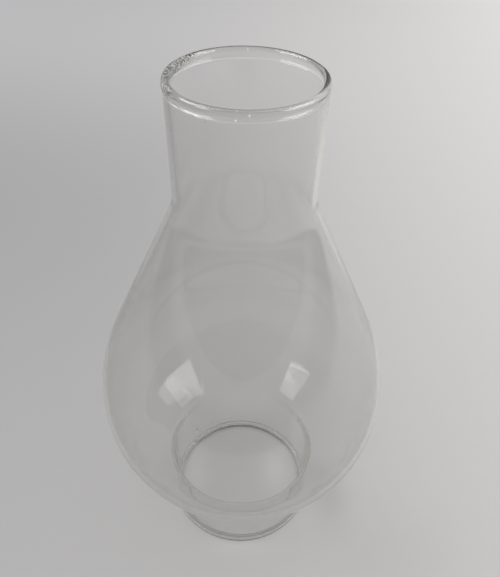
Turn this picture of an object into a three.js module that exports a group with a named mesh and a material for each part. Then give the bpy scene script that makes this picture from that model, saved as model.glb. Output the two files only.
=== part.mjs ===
// Glass chimney of a flat-wick oil lamp: one piece of clear blown glass, open at both ends.
// From the bottom: a straight fitter collar that stands in the burner's gallery, a pear-shaped bulb that
// rises from the collar as a short cone, rounds at the belly and narrows in a long straight shoulder,
// a waist, a straight neck that flares a little, and a thick fire-polished bead round the mouth.
// Millimetres, +Z up along the flue's axis, with the origin at the centre of the bottom edge.

import * as THREE from "three";

// Heights above the bottom edge
const totalHeight = 190.5;
const collarHeight = 28.3;
const bellyHeight = 74.7;
const waistHeight = 154;

// Outside radii of the glass
const footRadius = 30.95;
const collarTopRadius = 30.85;
const bellyRadius = 51.85;
const waistRadius = 20.75;
const neckTopRadius = 20.9;

// The belly is round above and below its widest level, and straight slopes run on to waist and collar.
// A share of 1 would be round all the way, with no straight slope left.
const lowerRoundShare = 0.82;
const upperRoundShare = 0.48;

// Radii of the hollow fillets at the two corners of the outline
const collarFillet = 3;
const waistFillet = 14;

// Thickness of the glass, measured square to its outside
const footWall = 2.75;
const collarWall = 2;
const bellyWall = 1.4;
const waistWall = 1.4;
const neckWall = 1.4;

// Bottom edge: flat where it stands, with rounded corners
const footRound = 0.8;

// Bead round the mouth
const beadThickness = 2.2;
const beadHeight = 3.2;
const beadOverhang = 0.2;

// How finely the round shapes are drawn
const turnSteps = 72;
const arcStep = THREE.MathUtils.degToRad(8);
const beadSteps = 6;
const footSteps = 3;

// Radius of an arc that starts upright at the belly's widest point. At a share of 1 it ends at the far point.
function bellyArcRadius(farPoint, share) {
  const inward = bellyRadius - farPoint.x;
  const reach = bellyHeight - farPoint.y;
  return (share * (inward * inward + reach * reach)) / (2 * inward);
}

// The point where the line from a point outside a circle touches it. Side 1 is to the left of the way
// from the point to the centre, and -1 to the right.
function touchPoint(from, centre, radius, side) {
  const toCentre = centre.clone().sub(from);
  const reach = Math.sqrt(toCentre.lengthSq() - radius * radius);
  const turn = side * Math.asin(radius / toCentre.length());
  const way = toCentre.normalize().rotateAround(new THREE.Vector2(), turn);
  return from.clone().addScaledVector(way, reach);
}

// Points and outward normals along a round stretch, from one angle to the other. Sign is 1 where the
// glass bulges outward, and -1 where it is hollow and its normal points to the arc's centre.
function roundStretch(centre, radius, fromAngle, toAngle, sign) {
  const steps = Math.max(2, Math.ceil(Math.abs(toAngle - fromAngle) / arcStep));
  return Array.from({ length: steps + 1 }, (_, i) => {
    const angle = THREE.MathUtils.lerp(fromAngle, toAngle, i / steps);
    const out = new THREE.Vector2(Math.cos(angle), Math.sin(angle));
    return { at: centre.clone().addScaledVector(out, radius), normal: out.multiplyScalar(sign) };
  });
}

// A hollow fillet in the corner between two straight stretches of the outline, taken upward.
function hollowCorner(before, corner, after, radius) {
  const intoCorner = corner.clone().sub(before).normalize();
  const outOfCorner = after.clone().sub(corner).normalize();
  const outward = new THREE.Vector2(intoCorner.y, -intoCorner.x);
  const outwardAfter = new THREE.Vector2(outOfCorner.y, -outOfCorner.x);
  const halfTurn = Math.acos(THREE.MathUtils.clamp(intoCorner.dot(outOfCorner), -1, 1)) / 2;
  const start = corner.clone().addScaledVector(intoCorner, -radius * Math.tan(halfTurn));
  const centre = start.clone().addScaledVector(outward, radius);
  const angleOf = (normal) => Math.atan2(-normal.y, -normal.x);
  const fromAngle = angleOf(outward);
  const toAngle = angleOf(outwardAfter);
  const shortest = Math.atan2(Math.sin(toAngle - fromAngle), Math.cos(toAngle - fromAngle));
  return roundStretch(centre, radius, fromAngle, fromAngle + shortest, -1);
}

// Outside of the glass from the foot to the underside of the bead, as points with outward normals.
function outsideOutline() {
  const foot = new THREE.Vector2(footRadius, footRound);
  const collarTop = new THREE.Vector2(collarTopRadius, collarHeight);
  const waist = new THREE.Vector2(waistRadius, waistHeight);
  const neckTop = new THREE.Vector2(neckTopRadius, totalHeight - beadHeight);
  const radiusBelow = bellyArcRadius(collarTop, lowerRoundShare);
  const radiusAbove = bellyArcRadius(waist, upperRoundShare);
  const centreBelow = new THREE.Vector2(bellyRadius - radiusBelow, bellyHeight);
  const centreAbove = new THREE.Vector2(bellyRadius - radiusAbove, bellyHeight);
  const lowTouch = touchPoint(collarTop, centreBelow, radiusBelow, -1);
  const highTouch = touchPoint(waist, centreAbove, radiusAbove, 1);
  const angleAt = (centre, touch) => Math.atan2(touch.y - centre.y, touch.x - centre.x);
  const bellyBelow = roundStretch(centreBelow, radiusBelow, angleAt(centreBelow, lowTouch), 0, 1);
  const bellyAbove = roundStretch(centreAbove, radiusAbove, 0, angleAt(centreAbove, highTouch), 1);
  const collarCorner = hollowCorner(foot, collarTop, lowTouch, collarFillet);
  const waistCorner = hollowCorner(highTouch, waist, neckTop, waistFillet);
  return [
    { at: foot, normal: collarCorner[0].normal },
    ...collarCorner,
    ...bellyBelow,
    ...bellyAbove.slice(1),
    ...waistCorner,
    { at: neckTop, normal: waistCorner[waistCorner.length - 1].normal },
  ];
}

// Thickness of the glass at a height, evenly changing between the zones.
function wallAt(height) {
  const zones = [
    [0, footWall],
    [collarHeight, collarWall],
    [bellyHeight, bellyWall],
    [waistHeight, waistWall],
    [totalHeight, neckWall],
  ];
  const above = Math.max(1, zones.findIndex(([top]) => top >= height));
  const [low, lowWall] = zones[above - 1];
  const [high, highWall] = zones[above];
  return THREE.MathUtils.mapLinear(height, low, high, lowWall, highWall);
}

// The bead's section is an ellipse. This is its part above the two walls of the neck, from outside over the
// top to inside.
function beadOutline(innerNeckRadius) {
  const half = new THREE.Vector2(beadThickness, beadHeight).divideScalar(2);
  const centre = new THREE.Vector2(neckTopRadius + beadOverhang, totalHeight).sub(half);
  const angleAt = (radius) => Math.acos(THREE.MathUtils.clamp((radius - centre.x) / half.x, -1, 1));
  const quarter = (fromAngle, toAngle) =>
    Array.from({ length: beadSteps + 1 }, (_, i) => {
      const angle = THREE.MathUtils.lerp(fromAngle, toAngle, i / beadSteps);
      return new THREE.Vector2(Math.cos(angle), Math.sin(angle)).multiply(half).add(centre);
    });
  const top = Math.PI / 2;
  const outer = quarter(-angleAt(neckTopRadius), top);
  const inner = quarter(top, 2 * Math.PI - angleAt(innerNeckRadius));
  return [...outer, ...inner.slice(1)];
}

// A rounded corner of the bottom edge, from one angle to the other.
function footCorner(cornerRadius, fromAngle, toAngle) {
  const centre = new THREE.Vector2(cornerRadius, footRound);
  return Array.from({ length: footSteps + 1 }, (_, i) => {
    const angle = THREE.MathUtils.lerp(fromAngle, toAngle, i / footSteps);
    return new THREE.Vector2(Math.cos(angle), Math.sin(angle)).multiplyScalar(footRound).add(centre);
  });
}

// The whole section of the glass as one closed line: up the outside, over the bead and down the inside.
function section() {
  const outside = outsideOutline();
  const inside = outside.map(({ at, normal }) => at.clone().addScaledVector(normal, -wallAt(at.y)));
  const outsidePoints = outside.slice(1, -1).map(({ at }) => at);
  const insidePoints = inside.slice(1, -1).reverse();
  const innerFootRadius = inside[0].x;
  const line = [
    ...footCorner(footRadius - footRound, -Math.PI / 2, 0),
    ...outsidePoints,
    ...beadOutline(inside[inside.length - 1].x),
    ...insidePoints,
    ...footCorner(innerFootRadius + footRound, Math.PI, 1.5 * Math.PI),
  ];
  return [...line, line[0].clone()];
}

const glass = new THREE.MeshStandardMaterial({
  color: 0xe9ece8,
  roughness: 0.03,
  metalness: 0,
  transparent: true,
  opacity: 0.35,
});

// The lathe turns the section about Y, so the piece is stood up along Z.
function glassChimney() {
  const geometry = new THREE.LatheGeometry(section(), turnSteps);
  geometry.rotateX(Math.PI / 2);
  const mesh = new THREE.Mesh(geometry, glass);
  mesh.name = "glass_chimney";
  return mesh;
}

const chimney = new THREE.Group();
chimney.add(glassChimney());

export default chimney;
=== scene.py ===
"""Glass chimney of an oil lamp: one piece of clear blown glass, standing empty on a pale table."""

import math

import bpy
import numpy as np
from mathutils import Matrix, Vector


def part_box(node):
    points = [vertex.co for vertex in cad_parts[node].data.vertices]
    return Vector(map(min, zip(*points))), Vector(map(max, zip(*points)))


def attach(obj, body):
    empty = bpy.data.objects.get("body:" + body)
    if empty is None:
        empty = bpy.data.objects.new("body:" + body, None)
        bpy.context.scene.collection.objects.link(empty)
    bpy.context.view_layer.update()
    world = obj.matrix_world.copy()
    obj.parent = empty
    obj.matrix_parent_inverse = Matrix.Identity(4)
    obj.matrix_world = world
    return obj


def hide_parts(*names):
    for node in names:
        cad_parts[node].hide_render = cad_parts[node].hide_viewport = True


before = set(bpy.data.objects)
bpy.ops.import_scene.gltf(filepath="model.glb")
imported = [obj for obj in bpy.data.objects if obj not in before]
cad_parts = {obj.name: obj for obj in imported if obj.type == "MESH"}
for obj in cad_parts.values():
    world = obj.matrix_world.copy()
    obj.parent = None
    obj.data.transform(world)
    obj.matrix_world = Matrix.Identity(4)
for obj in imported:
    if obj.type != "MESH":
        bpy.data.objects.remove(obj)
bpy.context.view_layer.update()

MM = 0.001
TURN = 2 * math.pi

# Camera, fitted to the photograph's frame of 500 by 577 pixels

LONG_SIDE_PX = 577
FOCAL_PX = 559.9
SENSOR = 36
CAMERA_PLACE = (0, -136.6 * MM, 243.7 * MM)
CAMERA_DOWN = math.radians(42.2)
CAMERA_ASIDE = math.radians(0.893)
CAMERA_ROLL = math.radians(1.449)


def make_camera():
    data = bpy.data.cameras.new("camera")
    data.sensor_width = SENSOR
    data.lens = SENSOR * FOCAL_PX / LONG_SIDE_PX
    data.clip_start = MM
    camera = bpy.data.objects.new("camera", data)
    bpy.context.scene.collection.objects.link(camera)
    aim = Matrix.Rotation(-CAMERA_ASIDE, 4, "Z")
    aim = aim @ Matrix.Rotation(math.pi / 2 - CAMERA_DOWN, 4, "X")
    aim = aim @ Matrix.Rotation(CAMERA_ROLL, 4, "Z")
    camera.matrix_world = Matrix.Translation(CAMERA_PLACE) @ aim
    bpy.context.scene.camera = camera


# Outline of the glass, the same sizes as the CAD part

TOTAL_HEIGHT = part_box("glass_chimney")[1].z
BELLY_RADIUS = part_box("glass_chimney")[1].x
COLLAR_HEIGHT = 28.3 * MM
BELLY_HEIGHT = 74.7 * MM
WAIST_HEIGHT = 154 * MM
FOOT_RADIUS = 30.95 * MM
COLLAR_TOP_RADIUS = 30.85 * MM
WAIST_RADIUS = 20.75 * MM
NECK_TOP_RADIUS = 20.9 * MM
LOWER_ROUND_SHARE = 0.88
UPPER_ROUND_SHARE = 0.48
COLLAR_FILLET = 1 * MM
WAIST_FILLET = 14 * MM

# Blown glass has no sharp change of curve, so the outline is eased: a little about the collar, and more
# above it. The bends are spread by a bell curve that is cut off at a few of its own lengths.
EASING = 1.6 * MM
COLLAR_EASING = 0.5 * MM
EASING_CHANGES = (34 * MM, 42 * MM)
BELL_REACH = 3

# The wall thins out upward, and at the foot it swells inward to a thick ring
WALLS = (
    (0, 3.4 * MM),
    (1.2 * MM, 3.7 * MM),
    (2.2 * MM, 3.7 * MM),
    (3.4 * MM, 2.8 * MM),
    (5 * MM, 2.4 * MM),
    (COLLAR_HEIGHT, 2 * MM),
    (BELLY_HEIGHT, 1.4 * MM),
    (TOTAL_HEIGHT, 1.4 * MM),
)
WALL_EASING = 0.7 * MM

# Bead round the mouth: an ellipse drawn out towards its corners. Its lower edges run into the walls
# over a short easing.
BEAD_THICKNESS = 2.2 * MM
BEAD_HEIGHT = 3.4 * MM
BEAD_OVERHANG = 0.2 * MM
BEAD_SQUARENESS = 2.4
EDGE_EASING = 0.2 * MM

# Bottom edge: flat between two rounded corners
FOOT_ROUND = 1.1 * MM

# Seeds, which are small bubbles in the glass, drawn out upward, with opaque white on them as a painted
# highlight. Each has a turn from +Y towards +X in degrees, and a height and a radius in mm.
SEEDS = ((0.5, 189.4, 0.24), (178, 189.1, 0.24), (-173.5, 188, 0.24), (120, 92, 0.16))
SEED_LENGTH = 1.3
SEED_STEPS = (14, 7)

# Fineness of the mesh: even on the body, and finer up to a height at the foot and from a height at the
# bead
TURN_STEPS = 240
FINE_STEP = 0.1 * MM
BODY_STEP = 1.6 * MM
EDGE_STEP = 0.2 * MM
FOOT_ZONE = 8 * MM
BEAD_ZONE = 185.5 * MM
ARC_STEPS = 96


def arc(centre, radius, start, end, steps=ARC_STEPS):
    angles = np.linspace(start, end, steps + 1)
    return centre + radius * np.stack([np.cos(angles), np.sin(angles)], -1)


def unit(way):
    return way / np.hypot(*way)


def touch_point(source, centre, radius, side):
    """Where the line from a point touches a circle. Side 1 is to the left of the way to its centre."""
    way = centre - source
    turn = side * math.asin(radius / np.hypot(*way))
    spin = np.array([[math.cos(turn), -math.sin(turn)], [math.sin(turn), math.cos(turn)]])
    return source + spin @ unit(way) * math.sqrt(way @ way - radius * radius)


def hollow_corner(before, corner, after, radius):
    """A hollow fillet in the corner between two straight stretches of the outline, taken upward."""
    into, out = unit(corner - before), unit(after - corner)
    half_turn = math.acos(into @ out) / 2
    outward = np.array([into[1], -into[0]])
    centre = corner - into * radius * math.tan(half_turn) + outward * radius
    start = math.atan2(-outward[1], -outward[0])
    turn = math.atan2(into[0] * out[1] - into[1] * out[0], into @ out)
    return arc(centre, radius, start, start + turn)


def belly_arc_radius(far, share):
    """Radius of an arc that starts upright at the belly. At a share of 1 it ends at the far point."""
    inward, reach = BELLY_RADIUS - far[0], BELLY_HEIGHT - far[1]
    return share * (inward * inward + reach * reach) / (2 * inward)


def even(line, step):
    """The same line with evenly spaced points."""
    along = np.concatenate([[0], np.cumsum(np.hypot(*np.diff(line, axis=0).T))])
    wanted = np.linspace(0, along[-1], round(along[-1] / step) + 1)
    return np.stack([np.interp(wanted, along, line[:, i]) for i in (0, 1)], -1)


def bell(step, length):
    """Weights of a bell curve, and how many steps they reach to each side."""
    reach = BELL_REACH * round(length / step)
    weights = np.exp(-((np.arange(-reach, reach + 1) * step / length) ** 2) / 2)
    return weights / weights.sum(), reach


def spread(line, weights):
    return np.stack([np.convolve(line[:, i], weights, "valid") for i in (0, 1)], -1)


def eased(line, step, length):
    """The line with its bends spread over a length. Its ends run on straight, so they stay."""
    weights, reach = bell(step, length)
    before = 2 * line[0] - line[reach:0:-1]
    after = 2 * line[-1] - line[-2 : -reach - 2 : -1]
    return spread(np.concatenate([before, line, after]), weights)


def eased_loop(line, step, length):
    weights, reach = bell(step, length)
    return spread(np.concatenate([line[-reach:], line, line[:reach]]), weights)


def outside_line():
    """Outside of the glass from the top of the foot's round to the mouth, as if it had no bead."""
    foot = np.array([FOOT_RADIUS, FOOT_ROUND])
    collar = np.array([COLLAR_TOP_RADIUS, COLLAR_HEIGHT])
    waist = np.array([WAIST_RADIUS, WAIST_HEIGHT])
    mouth = np.array([NECK_TOP_RADIUS, TOTAL_HEIGHT])
    below = belly_arc_radius(collar, LOWER_ROUND_SHARE)
    above = belly_arc_radius(waist, UPPER_ROUND_SHARE)
    centre_below = np.array([BELLY_RADIUS - below, BELLY_HEIGHT])
    centre_above = np.array([BELLY_RADIUS - above, BELLY_HEIGHT])
    low = touch_point(collar, centre_below, below, -1)
    high = touch_point(waist, centre_above, above, 1)
    low_angle = math.atan2(low[1] - centre_below[1], low[0] - centre_below[0])
    high_angle = math.atan2(high[1] - centre_above[1], high[0] - centre_above[0])
    stretches = [
        foot[None],
        hollow_corner(foot, collar, low, COLLAR_FILLET),
        arc(centre_below, below, low_angle, 0),
        arc(centre_above, above, 0, high_angle)[1:],
        hollow_corner(high, waist, mouth, WAIST_FILLET),
        mouth[None],
    ]
    line = even(np.concatenate(stretches), FINE_STEP)
    crisp, soft = eased(line, FINE_STEP, COLLAR_EASING), eased(line, FINE_STEP, EASING)
    return crisp + (soft - crisp) * np.interp(line[:, 1], EASING_CHANGES, (0, 1))[:, None]


def below_height(line, height):
    return line[line[:, 1] < height]


def bead(inner_radius):
    """The bead's section from the outer wall over the top to the inner wall."""
    half = np.array([BEAD_THICKNESS, BEAD_HEIGHT]) / 2
    centre = np.array([NECK_TOP_RADIUS + BEAD_OVERHANG, TOTAL_HEIGHT]) - half
    reach = np.array([NECK_TOP_RADIUS, inner_radius]) - centre[0]
    start, end = np.arccos(np.sign(reach) * np.abs(reach / half[0]) ** (BEAD_SQUARENESS / 2))
    way = arc(np.zeros(2), 1, -start, TURN - end)
    return centre + half * np.sign(way) * np.abs(way) ** (2 / BEAD_SQUARENESS)


def thinned(line):
    """The closed line with wide steps on the body and close steps at the foot and at the bead."""
    line = np.concatenate([line, line[:1]])
    middle = (line[1:, 1] + line[:-1, 1]) / 2
    step = np.where((middle < FOOT_ZONE) | (middle > BEAD_ZONE), EDGE_STEP, BODY_STEP)
    along = np.concatenate([[0], np.cumsum(np.hypot(*np.diff(line, axis=0).T) / step)])
    wanted = np.linspace(0, along[-1], round(along[-1]), endpoint=False)
    return np.stack([np.interp(wanted, along, line[:, i]) for i in (0, 1)], -1)


def section():
    """The closed section of the glass: up the outside, over the bead and down the inside."""
    outside = outside_line()
    along = np.gradient(outside, axis=0)
    along /= np.hypot(*along.T)[:, None]
    outward = np.stack([along[:, 1], -along[:, 0]], -1)
    wall = np.stack([outside[:, 1], np.interp(outside[:, 1], *zip(*WALLS))], -1)
    inside = outside - outward * eased(wall, FINE_STEP, WALL_EASING)[:, 1:]

    rim = bead(inside[-1, 0])
    outer_corner = np.array([FOOT_RADIUS - FOOT_ROUND, FOOT_ROUND])
    inner_corner = np.array([inside[0, 0] + FOOT_ROUND, FOOT_ROUND])
    stretches = [
        arc(outer_corner, FOOT_ROUND, -math.pi / 2, 0)[:-1],
        below_height(outside, rim[0, 1]),
        rim,
        below_height(inside, rim[-1, 1])[::-1],
        arc(inner_corner, FOOT_ROUND, -math.pi, -math.pi / 2)[1:],
    ]
    closed = np.concatenate(stretches + [stretches[0][:1]])
    return thinned(eased_loop(even(closed, FINE_STEP)[:-1], FINE_STEP, EDGE_EASING))


def lathe_faces(turns, points):
    i, j = np.meshgrid(np.arange(turns), np.arange(points), indexing="ij")
    i_next, j_next = (i + 1) % turns, (j + 1) % points
    corners = [i * points + j, i_next * points + j, i_next * points + j_next, i * points + j_next]
    return np.stack(corners, -1).reshape(-1, 4)


def on_round(turn, height, radius):
    """A place in metres from a turn in degrees, a height in mm and a radius in metres."""
    return radius * math.sin(math.radians(turn)), radius * math.cos(math.radians(turn)), height * MM


def seed_place(turn, height):
    """The middle of the wall at a turn and a height."""
    line = section()
    level = np.abs(line[:, 1] - height * MM) < BODY_STEP
    return on_round(turn, height, (line[level, 0].min() + line[level, 0].max()) / 2)


def seed(turn, height, size):
    """A small bubble in the wall: points and faces of a round void."""
    wide, tall = SEED_STEPS
    rise = np.linspace(-math.pi / 2, math.pi / 2, tall + 2)[1:-1, None]
    about = np.linspace(0, TURN, wide, endpoint=False)[None]
    rings = (np.cos(rise) * np.cos(about), np.cos(rise) * np.sin(about), np.sin(rise) + 0 * about)
    ball = np.concatenate([np.stack(rings, -1).reshape(-1, 3), [[0, 0, -1], [0, 0, 1]]])
    ball *= size * MM * np.array([1, 1, SEED_LENGTH])
    faces = []
    for j in range(wide):
        k = (j + 1) % wide
        for low in range(0, (tall - 1) * wide, wide):
            faces.append((low + j, low + wide + j, low + wide + k, low + k))
        top = (tall - 1) * wide
        faces += [(k, wide * tall, j), (top + j, wide * tall + 1, top + k)]
    return ball + seed_place(turn, height), faces


def make_glass():
    line = section()
    turns = np.linspace(0, TURN, TURN_STEPS, endpoint=False)[:, None]
    radius = np.broadcast_to(line[None, :, 0], (TURN_STEPS, len(line)))
    height = np.broadcast_to(line[None, :, 1], (TURN_STEPS, len(line)))
    points = np.stack([radius * np.cos(turns), radius * np.sin(turns), height], -1)
    points = points.reshape(-1, 3).tolist()
    faces = lathe_faces(TURN_STEPS, len(line)).tolist()
    for bubble in SEEDS:
        more_points, more_faces = seed(*bubble)
        faces += [[corner + len(points) for corner in face] for face in more_faces]
        points += more_points.tolist()
    mesh = bpy.data.meshes.new("blown_glass")
    mesh.from_pydata(points, [], faces)
    mesh.shade_smooth()
    piece = bpy.data.objects.new("blown_glass", mesh)
    bpy.context.scene.collection.objects.link(piece)
    return piece


# Small helpers for shader nodes: each returns an output socket. Mirrorings are counted in whole numbers,
# so the limits between two counts lie halfway.

NO_MIRRORING = 0.5


def plug(tree, socket, value):
    if isinstance(value, bpy.types.NodeSocket):
        tree.links.new(value, socket)
    else:
        socket.default_value = value


def maths(tree, operation, *values, clamp=False):
    node = tree.nodes.new("ShaderNodeMath")
    node.operation = operation
    node.use_clamp = clamp
    for socket, value in zip(node.inputs, values):
        plug(tree, socket, value)
    return node.outputs[0]


def ramp(tree, value, low, high, to_low=0.0, to_high=1.0):
    """A clamped straight change from one level to the other as a value goes from low to high."""
    node = tree.nodes.new("ShaderNodeMapRange")
    names = ("Value", "From Min", "From Max", "To Min", "To Max")
    for name, given in zip(names, (value, low, high, to_low, to_high)):
        plug(tree, node.inputs[name], given)
    return node.outputs["Result"]


def mixed(tree, share, first, second, kind="FLOAT"):
    node = tree.nodes.new("ShaderNodeMix")
    node.data_type = kind
    suffix = {"FLOAT": "Float", "RGBA": "Color"}[kind]
    by_name = {s.identifier: s for s in node.inputs}
    plug(tree, by_name["Factor_Float"], share)
    plug(tree, by_name[f"A_{suffix}"], first)
    plug(tree, by_name[f"B_{suffix}"], second)
    return {s.identifier: s for s in node.outputs}[f"Result_{suffix}"]


def parts(tree, vector):
    node = tree.nodes.new("ShaderNodeSeparateXYZ")
    tree.links.new(vector, node.inputs[0])
    return node.outputs[0], node.outputs[1], node.outputs[2]


def coordinates(tree, kind):
    return tree.nodes.new("ShaderNodeTexCoord").outputs[kind]


def soft_spot(tree, x, y, place, reach):
    """1 at a place, fading softly to 0 about it with its own reach along x and along y."""
    across = maths(tree, "DIVIDE", maths(tree, "SUBTRACT", x, place[0]), reach[0])
    along = maths(tree, "DIVIDE", maths(tree, "SUBTRACT", y, place[1]), reach[1])
    square = maths(tree, "MULTIPLY_ADD", across, across, maths(tree, "MULTIPLY", along, along))
    return maths(tree, "EXPONENT", maths(tree, "MULTIPLY", square, -1))


def seen_mirrored(tree):
    """1 on rays that the glass has mirrored on their way, and 0 on all others."""
    depth = tree.nodes.new("ShaderNodeLightPath").outputs["Glossy Depth"]
    return maths(tree, "GREATER_THAN", depth, NO_MIRRORING)


# Clear glass: the tint of its faces, and what its thickness soaks up

GLASS_IOR = 1.47
GLASS_TINT = (0.926, 0.921, 0.922, 1)
SOAK_COLOUR = (0.76, 0.79, 0.66, 1)
SOAK_DENSITY = 10

# What is left of the room's light once it has passed the glass to light the table
LIT_THROUGH = (0.92, 0.922, 0.918, 1)

# Light that was mirrored more often than this in the wall is let out of it. Where it meets the wall
# nearly square it runs out pale, and where it runs on along the wall it comes out dark.
MIRRORINGS = 2.5
RUN_OUT_TINT = (0.93, 0.93, 0.9, 1)
RUN_ON_TINT = (0.3, 0.31, 0.25, 1)
RUN_ON_FACING = (0.32, 0.62)

# Thin film of grime, uneven over the glass
FILM_TINT = (0.917, 0.918, 0.907, 1)
FILM_SCALE = 34
FILM_ENDS = (0.42, 0.62)

# Ripples of the drawn glass: long upward and narrow round about
RIPPLE_SCALE = 160
RIPPLE_LENGTH = 14
RIPPLE_DEPTH = 0.018

# Single streaks drawn out in the glass: the turn in degrees, lower and upper end, width and depth in mm
STREAKS = (
    (176, 108, 140, 0.5, 0.02),
    (-168, 122, 152, 0.9, 0.02),
    (-163, 96, 150, 0.6, -0.015),
    (20, 60, 150, 1.0, 0.02),
)
STREAK_FADE = 8

# Rough broken-out patch on the rim, between two turns and above a height: pits, with milky crumbs in them
PIT_TURNS = (math.radians(-112), math.radians(-40))
PIT_TURN_FADES = (math.radians(10), math.radians(20))
PIT_HEIGHTS = (188.2 * MM, 188.9 * MM)
PIT_SCALE = 1300
PIT_DEPTH = 0.8
PIT_ROUGHNESS = 0.22
CRUMB_SCALE = 1700
CRUMB_ENDS = (0.5, 0.62)
CRUMB_SHARE = 0.6

# Specks on the glass: the turn, height and radius as for the seeds
SPECKS = ((88, 131.8, 0.75), (-154, 187, 0.2), (-100, 178, 0.3), (150, 52, 0.3))
SPECK_TINT = (0.2, 0.16, 0.12, 1)

# Crumbs are milky; seeds get the same white as a painted highlight, reaching a little beyond each bubble
MILK_AND_SEED_GLINT = (0.92, 0.92, 0.9, 1)
SEED_GLINT_REACH = 2.7


def see_through(tree, share, shader, tint):
    """The shader with plain see-through glass of a tint in its place for a share."""
    clear = tree.nodes.new("ShaderNodeBsdfTransparent")
    plug(tree, clear.inputs["Color"], tint)
    mix = tree.nodes.new("ShaderNodeMixShader")
    tree.links.new(share, mix.inputs[0])
    tree.links.new(shader, mix.inputs[1])
    tree.links.new(clear.outputs[0], mix.inputs[2])
    return mix.outputs[0]


def noise(tree, place, scale, detail=2.0):
    node = tree.nodes.new("ShaderNodeTexNoise")
    plug(tree, node.inputs["Vector"], place)
    node.inputs["Scale"].default_value = scale
    node.inputs["Detail"].default_value = detail
    return node.outputs["Fac"]


def pit_mask(tree):
    x, y, z = parts(tree, coordinates(tree, "Object"))
    turn = maths(tree, "ARCTAN2", x, y)
    start = ramp(tree, turn, PIT_TURNS[0] - PIT_TURN_FADES[0], PIT_TURNS[0])
    end = ramp(tree, turn, PIT_TURNS[1], PIT_TURNS[1] - PIT_TURN_FADES[1])
    high = ramp(tree, z, *PIT_HEIGHTS)
    return maths(tree, "MULTIPLY", maths(tree, "MULTIPLY", start, end), high)


def near(tree, spot, reach):
    """1 near a spot, fading to 0 at its reach."""
    away = tree.nodes.new("ShaderNodeVectorMath")
    away.operation = "DISTANCE"
    plug(tree, away.inputs[0], coordinates(tree, "Object"))
    plug(tree, away.inputs[1], spot)
    return ramp(tree, away.outputs["Value"], reach, reach / 2)


def film_colour(tree, milk_and_seed_glint):
    film = ramp(tree, noise(tree, coordinates(tree, "Object"), FILM_SCALE), *FILM_ENDS)
    colour = mixed(tree, film, GLASS_TINT, FILM_TINT, "RGBA")
    # Milky crumbs, and white painted on the seeds as a highlight
    colour = mixed(tree, milk_and_seed_glint, colour, MILK_AND_SEED_GLINT, "RGBA")
    for turn, height, size in SPECKS:
        radius = float(np.interp(height * MM, *outside_line().T[::-1]))
        on = near(tree, on_round(turn, height, radius), size * MM)
        colour = mixed(tree, on, colour, SPECK_TINT, "RGBA")
    return colour


def milk_and_seed_glint_mask(tree, pitted):
    crumbs = ramp(tree, noise(tree, coordinates(tree, "Object"), CRUMB_SCALE), *CRUMB_ENDS)
    milk_and_seed_glint = maths(tree, "MULTIPLY", maths(tree, "MULTIPLY", crumbs, pitted), CRUMB_SHARE)
    # Painted highlight: the seeds are made opaque white about each bubble
    for turn, height, size in SEEDS:
        bubble = near(tree, seed_place(turn, height), SEED_GLINT_REACH * size * MM)
        milk_and_seed_glint = maths(tree, "MAXIMUM", milk_and_seed_glint, bubble)
    return milk_and_seed_glint


def uneven_normal(tree, pitted):
    place = coordinates(tree, "Object")
    long = tree.nodes.new("ShaderNodeVectorMath")
    long.operation = "MULTIPLY"
    plug(tree, long.inputs[0], place)
    plug(tree, long.inputs[1], (1, 1, 1 / RIPPLE_LENGTH))
    height = maths(tree, "MULTIPLY", noise(tree, long.outputs[0], RIPPLE_SCALE), RIPPLE_DEPTH)
    pits = maths(tree, "MULTIPLY", noise(tree, place, PIT_SCALE), pitted)
    height = maths(tree, "MULTIPLY_ADD", pits, PIT_DEPTH, height)
    for streak in STREAKS:
        height = maths(tree, "ADD", height, drawn_streak(tree, *streak))
    bump = tree.nodes.new("ShaderNodeBump")
    bump.inputs["Distance"].default_value = MM
    plug(tree, bump.inputs["Height"], height)
    return bump.outputs[0]


def drawn_streak(tree, turn, low, high, width, depth):
    """A narrow ridge or groove along the height, fading out at both ends."""
    x, y, z = parts(tree, coordinates(tree, "Object"))
    way = (math.cos(math.radians(turn)), -math.sin(math.radians(turn)))
    aside = maths(tree, "MULTIPLY_ADD", x, way[0], maths(tree, "MULTIPLY", y, way[1]))
    ahead = maths(tree, "MULTIPLY_ADD", x, -way[1], maths(tree, "MULTIPLY", y, way[0]))
    ridge = ramp(tree, maths(tree, "ABSOLUTE", aside), width / 2 * MM, 0, 0, depth)
    ridge = maths(tree, "MULTIPLY", ridge, maths(tree, "GREATER_THAN", ahead, 0))
    rising = ramp(tree, z, low * MM, (low + STREAK_FADE) * MM)
    falling = ramp(tree, z, high * MM, (high - STREAK_FADE) * MM)
    return maths(tree, "MULTIPLY", ridge, maths(tree, "MULTIPLY", rising, falling))


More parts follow.
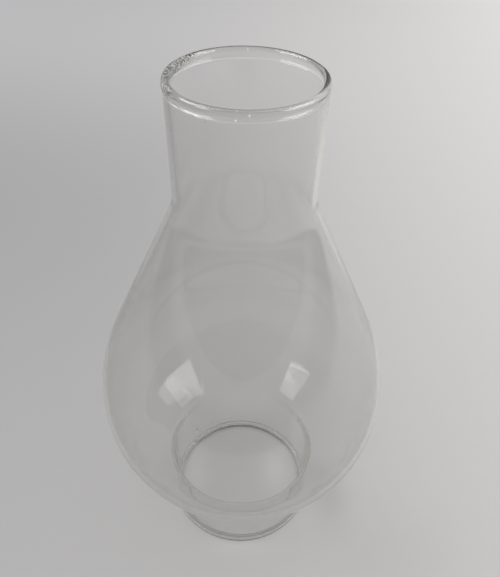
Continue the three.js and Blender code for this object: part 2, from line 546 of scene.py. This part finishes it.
def glass_material():
    material = bpy.data.materials.new("clear_blown_glass")
    material.use_nodes = True
    tree = material.node_tree
    nodes, links = tree.nodes, tree.links
    shader = nodes["Principled BSDF"]
    pitted = pit_mask(tree)
    # Milky crumbs, and opaque white on the seeds as a painted highlight; neither lets light through
    milk_and_seed_glint = milk_and_seed_glint_mask(tree, pitted)
    plug(tree, shader.inputs["Base Color"], film_colour(tree, milk_and_seed_glint))
    plug(tree, shader.inputs["Roughness"], maths(tree, "MULTIPLY", pitted, PIT_ROUGHNESS))
    plug(tree, shader.inputs["Normal"], uneven_normal(tree, pitted))
    plug(tree, shader.inputs["Transmission Weight"], maths(tree, "SUBTRACT", 1, milk_and_seed_glint))
    shader.inputs["IOR"].default_value = GLASS_IOR

    # Light that is mirrored to and fro in the wall leaves it after a few times
    path = nodes.new("ShaderNodeLightPath")
    caught = maths(tree, "GREATER_THAN", path.outputs["Glossy Depth"], MIRRORINGS)
    along_wall = ramp(tree, nodes.new("ShaderNodeLayerWeight").outputs["Facing"], *RUN_ON_FACING)
    run_out = mixed(tree, along_wall, RUN_OUT_TINT, RUN_ON_TINT, "RGBA")
    shown = see_through(tree, caught, shader.outputs[0], run_out)

    # Light from lamps and from the room reaches what is behind the glass
    for_room = see_through(tree, path.outputs["Is Diffuse Ray"], shown, LIT_THROUGH)
    for_lamps = see_through(tree, path.outputs["Is Shadow Ray"], for_room, LIT_THROUGH)
    links.new(for_lamps, nodes["Material Output"].inputs["Surface"])

    soak = nodes.new("ShaderNodeVolumeAbsorption")
    soak.inputs["Color"].default_value = SOAK_COLOUR
    soak.inputs["Density"].default_value = SOAK_DENSITY
    links.new(soak.outputs[0], nodes["Material Output"].inputs["Volume"])
    return material


# Table: pale, with painted light that makes it a little brighter to the right and to the back, and a
# painted shade as a darker place at the left. Given are the level at the chimney, what each metre adds to
# it, and as a bend what each metre adds to that again. Beyond what the photograph shows the level stays
# the same.

TABLE_SIDE = 8.0
TABLE_BELOW = 0.2 * MM
TABLE_ROUGHNESS = 0.9
TABLE_LEVEL = 0.54
TABLE_RIGHTWARD = 0.385
TABLE_RIGHTWARD_BEND = 0.45
TABLE_RIGHTWARD_BACK = -0.11
TABLE_BACKWARD = 0.163
TABLE_BACKWARD_BEND = -0.209
TABLE_SEEN_ASIDE = 0.36
TABLE_SEEN_FRONT = -0.05
TABLE_SEEN_BACK = 0.76
EVEN_FROM = 0.14
EVEN_FROM_BACK = 0.33
# Painted shade at the left of the table: its depth, place and reach
PAINTED_SHADE_DEPTH = -0.108
PAINTED_SHADE_PLACE = (-0.109, 0.227)
PAINTED_SHADE_REACH = (0.178, 0.235)
TINT_LEFT = (1, 0.985, 1.005, 1)
TINT_RIGHT = (1.02, 1, 0.98, 1)

# Mirrored in the glass the table ends at its edges, with a dark floor beyond and a paler one far away
EDGE_ASIDE = 0.46
EDGE_FRONT = 0.38
EDGE_BEND = 0.8
EDGE_SOFT = 0.12
BEYOND_TABLE = (0.18, 0.178, 0.178, 1)
FAR_FLOOR = 1.0
FAR_SOFT = 0.6
FAR_COLOUR = (0.44, 0.435, 0.43, 1)

# Shade at the foot's edge and inside the collar, and mirrored also under the bulb
FOOT_SHADE = -0.4
FOOT_SHADE_RADIUS = 28.6 * MM
FOOT_SHADE_REACH = 1.7 * MM
INNER_SHADE = -0.08
INNER_SHADE_ENDS = (28 * MM, 25 * MM)
BULB_SHADE = -0.27
BULB_SHADE_RADIUS = 60 * MM
BULB_SHADE_REACH = 18 * MM

# Light gathered by the glass and shade cast by it on the table: place and reach in mm, and share added
GATHERED = (
    ((17, 3), (7, 13), 0.17),
    ((-22, 2), (6, 13), 0.13),
    ((0, -33), (14, 4), 0.08),
    ((41, -9), (8, 14), -0.13),
    ((62, -36), (30, 22), -0.05),
)


def painted_table_light_and_shade(tree, x, y):
    """How pale the table is at a place, with its painted light and its painted shade at the left."""
    back = maths(tree, "MINIMUM", maths(tree, "MAXIMUM", y, TABLE_SEEN_FRONT), TABLE_SEEN_BACK)
    even_from = maths(tree, "MULTIPLY_ADD", back, EVEN_FROM_BACK, EVEN_FROM)
    right = maths(tree, "MINIMUM", maths(tree, "MAXIMUM", x, -TABLE_SEEN_ASIDE), even_from)
    slope = maths(tree, "MULTIPLY_ADD", right, TABLE_RIGHTWARD_BEND, TABLE_RIGHTWARD)
    slope = maths(tree, "MULTIPLY_ADD", back, TABLE_RIGHTWARD_BACK, slope)
    level = maths(tree, "MULTIPLY_ADD", right, slope, TABLE_LEVEL)
    slope = maths(tree, "MULTIPLY_ADD", back, TABLE_BACKWARD_BEND, TABLE_BACKWARD)
    level = maths(tree, "MULTIPLY_ADD", back, slope, level)
    # Painted shade: a darker place on the table at the left
    painted_shade = soft_spot(tree, maths(tree, "MAXIMUM", x, PAINTED_SHADE_PLACE[0]), y, PAINTED_SHADE_PLACE, PAINTED_SHADE_REACH)
    return maths(tree, "MULTIPLY_ADD", painted_shade, PAINTED_SHADE_DEPTH, level)


def table_shade(tree, x, y, away):
    """The share of light under and round the glass: less in its shade, more where it gathers light."""
    under = soft_spot(tree, away, 0, (FOOT_SHADE_RADIUS, 0), (FOOT_SHADE_REACH, 1))
    inner = ramp(tree, away, *INNER_SHADE_ENDS)
    shade = maths(tree, "MULTIPLY_ADD", under, FOOT_SHADE, 1)
    shade = maths(tree, "MULTIPLY_ADD", inner, INNER_SHADE, shade)
    for place, reach, share in GATHERED:
        place, reach = ([size * MM for size in pair] for pair in (place, reach))
        shade = maths(tree, "MULTIPLY_ADD", soft_spot(tree, x, y, place, reach), share, shade)
    return shade


def beyond_edges(tree, x, y):
    """1 beyond the table's edges at its sides and at its bent front."""
    aside = ramp(tree, maths(tree, "ABSOLUTE", x), EDGE_ASIDE, EDGE_ASIDE + EDGE_SOFT)
    bent = maths(tree, "MULTIPLY_ADD", maths(tree, "MULTIPLY", x, x), EDGE_BEND, y)
    in_front = ramp(tree, bent, -EDGE_FRONT, -EDGE_FRONT - EDGE_SOFT)
    return maths(tree, "MAXIMUM", aside, in_front)


def scaled(tree, colour, level):
    node = tree.nodes.new("ShaderNodeVectorMath")
    node.operation = "SCALE"
    plug(tree, node.inputs[0], colour)
    plug(tree, node.inputs["Scale"], level)
    return node.outputs[0]


def table_material():
    material = bpy.data.materials.new("pale_table")
    material.use_nodes = True
    tree = material.node_tree
    shader = tree.nodes["Principled BSDF"]
    shader.inputs["Roughness"].default_value = TABLE_ROUGHNESS
    shader.inputs["Specular IOR Level"].default_value = 0
    x, y, _ = parts(tree, coordinates(tree, "Object"))
    away = maths(tree, "SQRT", maths(tree, "MULTIPLY_ADD", x, x, maths(tree, "MULTIPLY", y, y)))
    level = maths(tree, "MULTIPLY", painted_table_light_and_shade(tree, x, y), table_shade(tree, x, y, away))
    rightward = ramp(tree, x, -TABLE_SEEN_ASIDE, TABLE_SEEN_ASIDE)
    tint = mixed(tree, rightward, TINT_LEFT, TINT_RIGHT, "RGBA")

    far = ramp(tree, away, FAR_FLOOR, FAR_FLOOR + FAR_SOFT)
    floor = mixed(tree, far, BEYOND_TABLE, FAR_COLOUR, "RGBA")
    mirrored = seen_mirrored(tree)
    share = maths(tree, "MULTIPLY", beyond_edges(tree, x, y), mirrored)
    colour = mixed(tree, share, scaled(tree, tint, level), floor, "RGBA")
    ring = soft_spot(tree, away, 0, (BULB_SHADE_RADIUS, 0), (BULB_SHADE_REACH, 1))
    ring = maths(tree, "MULTIPLY", ring, mirrored)
    dimmed = scaled(tree, colour, maths(tree, "MULTIPLY_ADD", ring, BULB_SHADE, 1))
    plug(tree, shader.inputs["Base Color"], dimmed)
    return material


def make_table():
    bpy.ops.mesh.primitive_plane_add(size=TABLE_SIDE, location=(0, 0, -TABLE_BELOW))
    table = bpy.context.object
    table.name = "table"
    table.data.materials.append(table_material())


# Room: an even pale light for all that it lights, and mirrored in the glass a dim room with lit windows

WHITE = (1, 1, 1, 1)
ROOM_LIGHT = 1.0
ROOM_SEEN = 0.62

# Levels of the dim room: its walls, paler behind the chimney, and its ceiling, paler at both sides
ROOM_MIRRORED = 0.2
ROOM_BEHIND = 0.5
BEHIND_ENDS = (math.radians(80), math.radians(55))
CEILING_MIRRORED = 0.14
CEILING_ASIDE = 0.34
ASIDE_FROM = (0.5, 0.85)
CEILING_RISE = (math.radians(44), math.radians(54))

# Lit windows, seen on the first mirroring only: the turns of both ends, the sill's angle above the table
# at each end and the top's, all in degrees, and the level of light
WINDOW_SOFT = math.radians(0.5)
WINDOW_MIRRORINGS = 1.5
WINDOWS = (
    ((81, 102), (4.3, 10.6), (22, 22), 2.6),
    ((102, 124.5), (10.6, 13.4), (22, 22), 2.6),
    ((92, 110), (7, 11.0), (12.0, 13.0), 2.0),
    ((66, 124.5), (22, 22), (34, 34), 4.0),
    ((66, 124.5), (34, 34), (52, 52), 8.0),
    ((-128, -107), (15.9, 10.8), (19.3, 13.1), 3.4),
    ((-127, -71), (22, 22), (34, 34), 3.4),
    ((-124, -66), (34, 34), (54, 54), 8.0),
    ((-80, -38), (40, 40), (72, 72), 4.0),
)


def window(tree, turn, rise, ends, sills, tops, level):
    """A lit window between two turns from +Y towards +X. Its sill and its top slant from end to end."""
    across = maths(
        tree,
        "MULTIPLY",
        ramp(tree, turn, ends[0] - WINDOW_SOFT, ends[0] + WINDOW_SOFT),
        ramp(tree, turn, ends[1] + WINDOW_SOFT, ends[1] - WINDOW_SOFT),
    )
    over_sill = maths(tree, "SUBTRACT", rise, ramp(tree, turn, *ends, *sills))
    under_top = maths(tree, "SUBTRACT", ramp(tree, turn, *ends, *tops), rise)
    height = maths(tree, "DIVIDE", maths(tree, "MINIMUM", over_sill, under_top), WINDOW_SOFT, clamp=True)
    return maths(tree, "MULTIPLY", maths(tree, "MULTIPLY", across, height), level)


def lit_windows(tree, turn, rise, path):
    windows = 0
    for ends, sills, tops, level in WINDOWS:
        ends, sills, tops = ([math.radians(angle) for angle in pair] for pair in (ends, sills, tops))
        windows = maths(tree, "ADD", window(tree, turn, rise, ends, sills, tops, level), windows)
    first = maths(tree, "LESS_THAN", path.outputs["Glossy Depth"], WINDOW_MIRRORINGS)
    return maths(tree, "MULTIPLY", windows, first)


def dim_room(tree, turn, rise):
    walls = ramp(tree, maths(tree, "ABSOLUTE", turn), *BEHIND_ENDS, ROOM_MIRRORED, ROOM_BEHIND)
    aside = maths(tree, "ABSOLUTE", maths(tree, "SINE", turn))
    ceiling = ramp(tree, aside, *ASIDE_FROM, CEILING_MIRRORED, CEILING_ASIDE)
    return mixed(tree, ramp(tree, rise, *CEILING_RISE), walls, ceiling)


def make_room():
    world = bpy.data.worlds.new("room")
    world.use_nodes = True
    bpy.context.scene.world = world
    tree = world.node_tree
    path = tree.nodes.new("ShaderNodeLightPath")
    glossy, through = path.outputs["Is Glossy Ray"], path.outputs["Is Transmission Ray"]
    specular = maths(tree, "ADD", glossy, through, clamp=True)
    mirrored = maths(tree, "MULTIPLY", specular, seen_mirrored(tree))
    seen = maths(tree, "ADD", specular, path.outputs["Is Camera Ray"], clamp=True)

    x, y, z = parts(tree, coordinates(tree, "Generated"))
    turn = maths(tree, "ARCTAN2", x, y)
    rise = maths(tree, "ARCSINE", z)
    room = maths(tree, "ADD", lit_windows(tree, turn, rise, path), dim_room(tree, turn, rise))
    plain = mixed(tree, seen, ROOM_LIGHT, ROOM_SEEN)
    background = tree.nodes["Background"]
    background.inputs["Color"].default_value = WHITE
    plug(tree, background.inputs["Strength"], mixed(tree, mirrored, plain, room))


make_camera()
make_table()
make_room()

glass = make_glass()
glass.data.materials.append(glass_material())
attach(glass, "root")
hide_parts("glass_chimney")

bpy.context.scene.view_settings.view_transform = "Standard"
